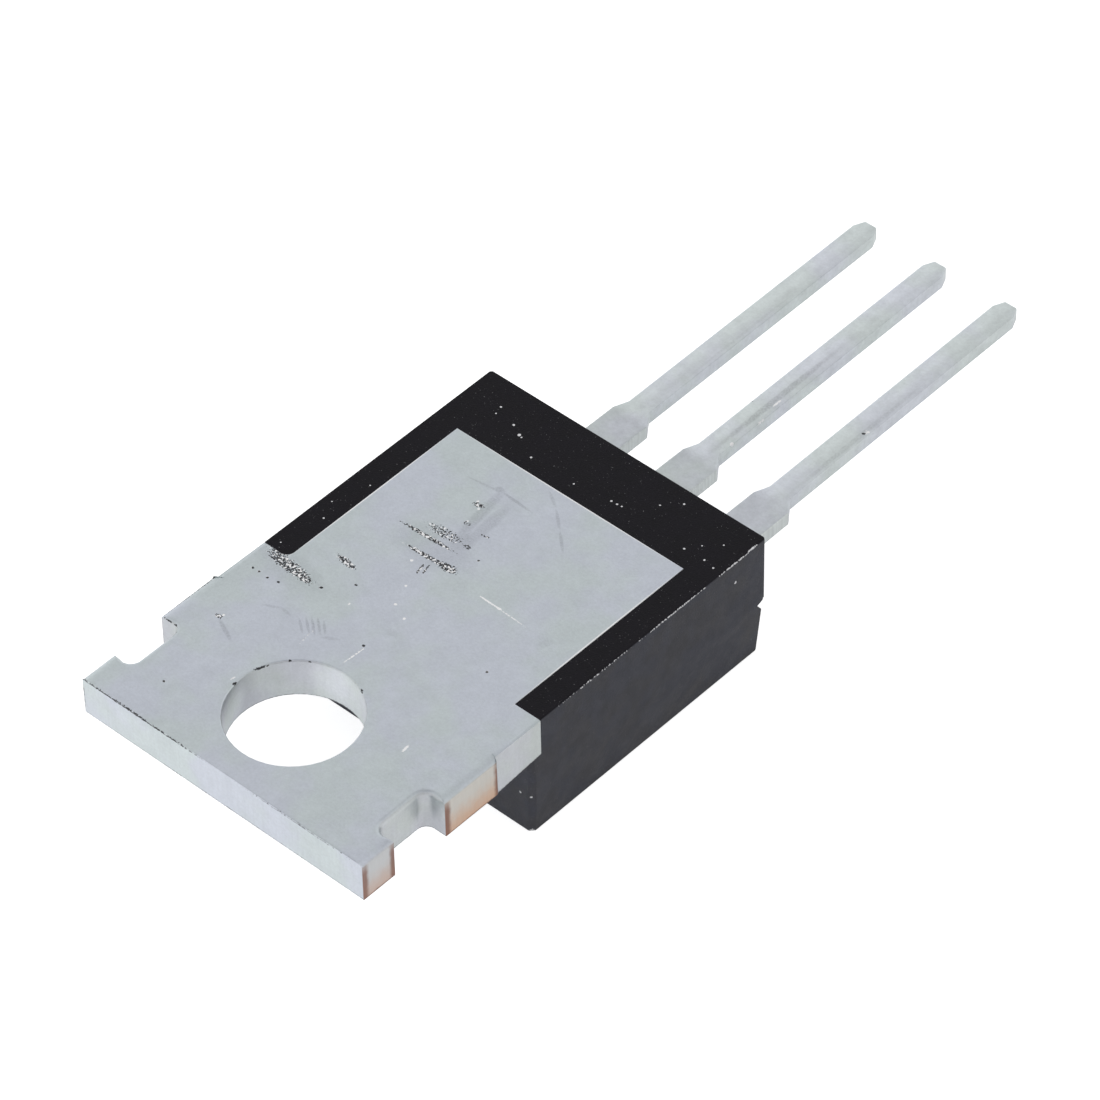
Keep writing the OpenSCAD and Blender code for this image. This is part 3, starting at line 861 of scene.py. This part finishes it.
def black_epoxy():
    """Filled black epoxy, blacker on the heatsink face than on its moulded sides, whose grey is partly their skin and
    partly painted light from the floor, with a painted lighter end face and a few light chips.
    """
    colours, gloss = settings().colours, settings().finish
    material, tree, shader, place, normal = new_material("black_epoxy")
    normal_y, normal_z = axes_of(tree, normal)[1:]
    side = ramp(tree, maths(tree, "ABSOLUTE", normal_z), 0.85, 0.4)
    end_face_light = product(tree, side, ramp(tree, normal_y, -0.3, -0.8))
    top = group(
        tree, "Cloudy tone", Vector=place, First=colours.resin, Second=[c * 1.3 for c in colours.resin],
        Cloud_Size=0.5, Grain_Size=0.05, Grain=0.9, Smudge=0.4
    )
    walls = group(
        tree, "Cloudy tone", Vector=place, First=colours.resin_side, Second=colours.resin_side_tint,
        Cloud_Size=0.9, Grain_Size=0.06, Grain=0.5, Smudge=0.28
    )
    # Painted light: the end face towards the tab is made lighter than the other sides
    wall_colour = scaled(tree, walls["Colour"], maths(tree, "MULTIPLY_ADD", end_face_light, 0.15, 1.0))
    surface = blend(tree, side, top["Colour"], wall_colour)

    fine = noise(tree, place, 0.045, 1.0)
    speckle = ramp(tree, fine, 0.25, 0.75, kind="LINEAR")
    chips = cover_of(tree, place, [((x, y, HEATSINK_FACE), (0.8 * r,) * 3, 0, 1.0) for x, y, r in RESIN_CHIPS])
    core = ramp(tree, maths(tree, "MULTIPLY_ADD", speckle, 0.5, chips), 0.8, 1.1)
    rubs = speckled(tree, cover_of(tree, place, RESIN_RUBS), speckle)
    grains = product(tree, ramp(tree, fine, 0.745, 0.765), 0.16)
    surface = blend(tree, strongest(tree, core, rubs, grains), surface, colours.filler)
    feed(tree, shader, {
        "Base Color": surface,
        "Roughness": maths(tree, "MULTIPLY_ADD", top["Cloud"], 0.08, gloss.resin - 0.04),
        "Specular IOR Level": gloss.resin_specular,
        "Normal": bumps(tree, maths(tree, "MULTIPLY_ADD", chips, -1.5, top["Grain"]), 0.012),
    })
    return material


def silicon():
    """A sawn chip with a metallised cell field on the face that the wires are bonded to."""
    colours = settings().colours
    material, tree, shader, place, normal = new_material("silicon")
    place_x, place_y, _ = axes_of(tree, place)
    cells = put(
        tree, "ShaderNodeTexWave", {"Vector": place, "Scale": 3.0, "Distortion": 0.0}, bands_direction="X"
    ).outputs["Fac"]
    half = (DIE_HIGH - DIE_LOW) / 2
    from_middle = maths(tree, "SUBTRACT", place_y, (DIE_HIGH.y + DIE_LOW.y) / 2)
    inner_x = ramp(tree, maths(tree, "ABSOLUTE", place_x), half.x - 0.15, half.x - 0.2)
    inner_y = ramp(tree, maths(tree, "ABSOLUTE", from_middle), half.y - 0.15, half.y - 0.2)
    face = product(tree, inner_x, inner_y, ramp(tree, axes_of(tree, normal)["Z"], -0.8, -0.95))
    field = blend(tree, product(tree, cells, 0.25), colours.cells, colours.silicon)
    saw = noise(tree, place, 0.05, 3.0)
    side = blend(tree, product(tree, saw, 0.5), colours.silicon, [c * 0.5 for c in colours.silicon])
    feed(tree, shader, {
        "Base Color": blend(tree, face, side, field),
        "Roughness": maths(tree, "MULTIPLY_ADD", saw, 0.2, 0.15),
        "Metallic": face,
        "Normal": bumps(tree, maths(tree, "ADD", cells, saw), 0.002),
    })
    return material


def soft_solder():
    """Dull solder with a frosty, uneven skin."""
    colours = settings().colours
    material, tree, shader, place, _ = new_material("solder")
    tone = group(
        tree, "Cloudy tone", Vector=place, First=colours.solder, Second=[c * 0.8 for c in colours.solder],
        Cloud_Size=0.3, Grain_Size=0.04, Grain=0.3, Smudge=0.2
    )
    feed(tree, shader, {
        "Base Color": tone["Colour"],
        "Roughness": maths(tree, "MULTIPLY_ADD", tone["Cloud"], 0.2, 0.4),
        "Metallic": 1.0,
        "Normal": bumps(tree, tone["Grain"], 0.01),
    })
    return material


def bond_aluminium():
    """Drawn aluminium wire with faint lines along its length."""
    colours = settings().colours
    material, tree, shader, place, _ = new_material("bond_aluminium")
    lines = noise(tree, stretched(tree, place, (1.0, 0.05, 0.4)), 0.03)
    feed(tree, shader, {
        "Base Color": blend(tree, product(tree, lines, 0.4), colours.wire, [c * 0.7 for c in colours.wire]),
        "Roughness": maths(tree, "MULTIPLY_ADD", lines, 0.2, 0.2),
        "Metallic": 1.0,
        "Normal": bumps(tree, lines, 0.003),
    })
    return material


FINISHES = {
    "tinned_copper": tinned_copper,
    "black_epoxy": black_epoxy,
    "silicon": silicon,
    "solder": soft_solder,
    "bond_aluminium": bond_aluminium,
}


def finish_for(slot):
    """The material for a slot, built on first use."""
    return bpy.data.materials.get(slot + ".finish") or FINISHES[slot]()


# ---------------------------------------------------------------- operators

class MOSFET_OT_tab(bpy.types.Operator):
    """Builds the plated tab with the die pad and the drain lead"""

    bl_idname = "power_mosfet.tab"
    bl_label = "Tab with drain lead"

    def execute(self, context):
        edges = settings().edges
        piece = copy_of("tab_with_drain_lead", "plated_tab")
        for side in (-1, 1):
            edit_where(
                piece, lambda p: near(p.x, side * STUB_SIDE) and near(p.y, STUB_END),
                bpy.ops.transform.translate, value=(0, -STUB_SLANT * MM, 0)
            )
            edit_where(
                piece, lambda p: near(p.x, side * BODY_HIGH.x) and near(p.y, STUB_END) and near(p.z, TAB_UNDERSIDE),
                bpy.ops.transform.translate, value=(side * FOOT_FLARE * MM, 0, 0)
            )
        round_edges(piece, lambda a, b: tab_edge_radius(a, b, edges), edges.rolled, edges.segments)
        rolled = edges.rolled / MM
        edit_where(
            piece, lambda p: abs(p.x) > EAR_SIDE - rolled - TOUCH and p.y < STUB_END + TOUCH
            and HEATSINK_FACE - p.z < rolled + TOUCH,
            bpy.ops.transform.resize, value=(1, 1, edges.drop), center_override=(0, 0, HEATSINK_FACE * MM)
        )
        for side in (-1, 1):
            edit_where(
                piece, lambda p: side * p.x > STUB_SIDE - TOUCH,
                bpy.ops.transform.resize, value=(0, 1, 1), center_override=(side * STUB_SIDE * MM, 0, 0)
            )
        smooth_faces(piece)
        finish_piece(piece, "tinned_copper", "tab_with_drain_lead")
        return {"FINISHED"}


class MOSFET_OT_leads(bpy.types.Operator):
    """Builds the gate lead and the source lead"""

    bl_idname = "power_mosfet.leads"
    bl_label = "Gate and source leads"

    def execute(self, context):
        edges = settings().edges
        for node in ("gate_lead", "source_lead"):
            piece = copy_of(node, "plated_" + node)
            round_edges(piece, lambda a, b: lead_edge_radius(a, b, edges), edges.lead, edges.segments)
            smooth_faces(piece)
            finish_piece(piece, "tinned_copper", node)
        return {"FINISHED"}


class MOSFET_OT_body(bpy.types.Operator):
    """Builds the black moulding"""

    bl_idname = "power_mosfet.body"
    bl_label = "Moulded body"

    def execute(self, context):
        edges = settings().edges
        piece = copy_of("moulded_body", "epoxy_moulding")
        round_edges(piece, lambda a, b: body_edge_radius(a, b, edges), edges.body, edges.segments)
        edit_where(
            piece, lambda p: near(abs(p.x), FOLD.x) and near(p.y, FOLD.y) and near(p.z, FOLD.z),
            bpy.ops.transform.resize, value=(1, 1, 0), center_override=(0, 0, FOLD_LEVEL * MM)
        )
        smooth_faces(piece)
        finish_piece(piece, "black_epoxy", "moulded_body")
        return {"FINISHED"}


class MOSFET_OT_chip(bpy.types.Operator):
    """Gives the chip, its solder and its bond wires their finishes"""

    bl_idname = "power_mosfet.chip"
    bl_label = "Chip and bonds"

    def execute(self, context):
        slots = {
            "silicon_die": "silicon",
            "die_solder": "solder",
            "gate_wire": "bond_aluminium",
            "source_wire_1": "bond_aluminium",
            "source_wire_2": "bond_aluminium",
        }
        for node, slot in slots.items():
            frame["nodes"][node].material_slots[0].material = finish_for(slot)
        return {"FINISHED"}


def floor_material():
    """White floor that keeps the part's shadow and shows white behind it; clear from below."""
    stage = settings().stage
    material = bpy.data.materials.new("studio_floor")
    material.use_nodes = True
    tree = material.node_tree
    tree.nodes.clear()
    white = (stage.floor, stage.floor, stage.floor, 1)
    diffuse = put(tree, "ShaderNodeBsdfDiffuse", {"Color": white}).outputs[0]
    path = tree.nodes.new("ShaderNodeLightPath").outputs
    mirrored = strongest(tree, path["Is Glossy Ray"], path["Is Transmission Ray"])
    glow = product(tree, path["Is Camera Ray"], stage.glow)
    glow = maths(tree, "MULTIPLY_ADD", mirrored, stage.mirror_glow, glow)
    emission = put(tree, "ShaderNodeEmission", {"Color": (1, 1, 1, 1), "Strength": glow}).outputs[0]
    lit = put(tree, "ShaderNodeAddShader", {0: diffuse, 1: emission}).outputs[0]
    clear = tree.nodes.new("ShaderNodeBsdfTransparent").outputs[0]
    under = tree.nodes.new("ShaderNodeNewGeometry").outputs["Backfacing"]
    hidden = product(tree, under, path["Is Camera Ray"])
    surface = put(tree, "ShaderNodeMixShader", {0: hidden, 1: lit, 2: clear}).outputs[0]
    put(tree, "ShaderNodeOutputMaterial", {"Surface": surface})
    return material


def studio_world():
    """Plain studio: grey above, pale towards the floor, white where the camera looks past the floor."""
    stage = settings().stage
    world = bpy.data.worlds.new("studio")
    world.use_nodes = True
    tree = world.node_tree
    tree.nodes.clear()
    direction = tree.nodes.new("ShaderNodeTexCoord").outputs["Generated"]
    height = axes_of(tree, direction)["Z"]
    level = product(
        tree, ramp(tree, height, 0.02, 0.5, stage.horizon, stage.sky),
        ramp(tree, height, 0.76, 0.96, 1.0, stage.zenith)
    )
    seen = tree.nodes.new("ShaderNodeLightPath").outputs["Is Camera Ray"]
    strength = between(tree, seen, level, 1.0)
    background = put(tree, "ShaderNodeBackground", {"Color": (1, 1, 1, 1), "Strength": strength}).outputs[0]
    put(tree, "ShaderNodeOutputWorld", {"Surface": background})
    return world


class MOSFET_OT_stage(bpy.types.Operator):
    """Builds the floor, the light and the camera"""

    bl_idname = "power_mosfet.stage"
    bl_label = "Stage"

    def execute(self, context):
        stage = settings().stage
        scene = context.scene

        bpy.ops.object.select_all(action="DESELECT")
        bpy.ops.mesh.primitive_circle_add(vertices=96, radius=FLOOR_RADIUS, fill_type="NGON", location=(0, 0, 0))
        floor = context.object
        floor.name = "studio_floor"
        edit_where(floor, lambda p: True, bpy.ops.mesh.inset, thickness=FLOOR_RIM)
        rim = (FLOOR_RADIUS - FLOOR_RIM / 2) / MM
        edit_where(floor, lambda p: p.length > rim, bpy.ops.transform.translate, value=(0, 0, FLOOR_RISE))
        floor.data.materials.append(floor_material())

        lamp = bpy.data.lights.new("soft_lamp", "AREA")
        lamp.shape = "DISK"
        lamp.size = LAMP_SIZE
        lamp.energy = stage.lamp
        lamp_object = bpy.data.objects.new("soft_lamp", lamp)
        scene.collection.objects.link(lamp_object)
        lamp_object.location = LAMP_PLACE
        lamp_object.rotation_euler = (-LAMP_PLACE).to_track_quat("-Z", "Y").to_euler()
        lamp_object.visible_camera = False
        lamp_object.visible_glossy = False

        scene.world = studio_world()
        scene.view_settings.view_transform = "Standard"

        camera = bpy.data.cameras.new("camera")
        camera.sensor_width = 36
        camera.lens = stage.focal
        camera.clip_start, camera.clip_end = 0.01, 10
        camera_object = bpy.data.objects.new("camera", camera)
        scene.collection.objects.link(camera_object)
        up = math.cos(stage.elevation)
        back = Vector((
            math.sin(stage.azimuth) * up, -math.cos(stage.azimuth) * up, math.sin(stage.elevation)
        ))
        turn = (
            Euler((0, 0, stage.azimuth)).to_matrix()
            @ Euler((math.pi / 2 - stage.elevation, 0, 0)).to_matrix()
            @ Euler((0, 0, stage.roll)).to_matrix()
        )
        camera_object.matrix_world = Matrix.Translation(Vector(stage.aim) + back * stage.distance) @ turn.to_4x4()
        scene.camera = camera_object
        return {"FINISHED"}


class MOSFET_PT_panel(bpy.types.Panel):
    """Lists the part's pieces and its stage"""

    bl_label = "Power MOSFET"
    bl_idname = "MOSFET_PT_panel"
    bl_space_type = "VIEW_3D"
    bl_region_type = "UI"
    bl_category = "Power MOSFET"

    def draw(self, context):
        for operator in OPERATORS:
            self.layout.operator(operator.bl_idname)
        values = context.scene.power_mosfet
        for part in (values.edges, values.colours, values.finish, values.stage):
            box = self.layout.box()
            for key in part.__annotations__:
                box.prop(part, key)


OPERATORS = (MOSFET_OT_tab, MOSFET_OT_leads, MOSFET_OT_body, MOSFET_OT_chip, MOSFET_OT_stage)
CLASSES = (MosfetEdges, MosfetColours, MosfetFinish, MosfetStage, MosfetSettings, *OPERATORS, MOSFET_PT_panel)


def register():
    for item in CLASSES:
        bpy.utils.register_class(item)
    bpy.types.Scene.power_mosfet = bpy.props.PointerProperty(
        type=MosfetSettings, name="Power MOSFET", description="Settings of the power MOSFET"
    )


def unregister():
    del bpy.types.Scene.power_mosfet
    for item in reversed(CLASSES):
        bpy.utils.unregister_class(item)


def main():
    register()
    bpy.ops.power_mosfet.tab()
    bpy.ops.power_mosfet.leads()
    bpy.ops.power_mosfet.body()
    bpy.ops.power_mosfet.chip()
    bpy.ops.power_mosfet.stage()


if __name__ == "__main__":
    main()
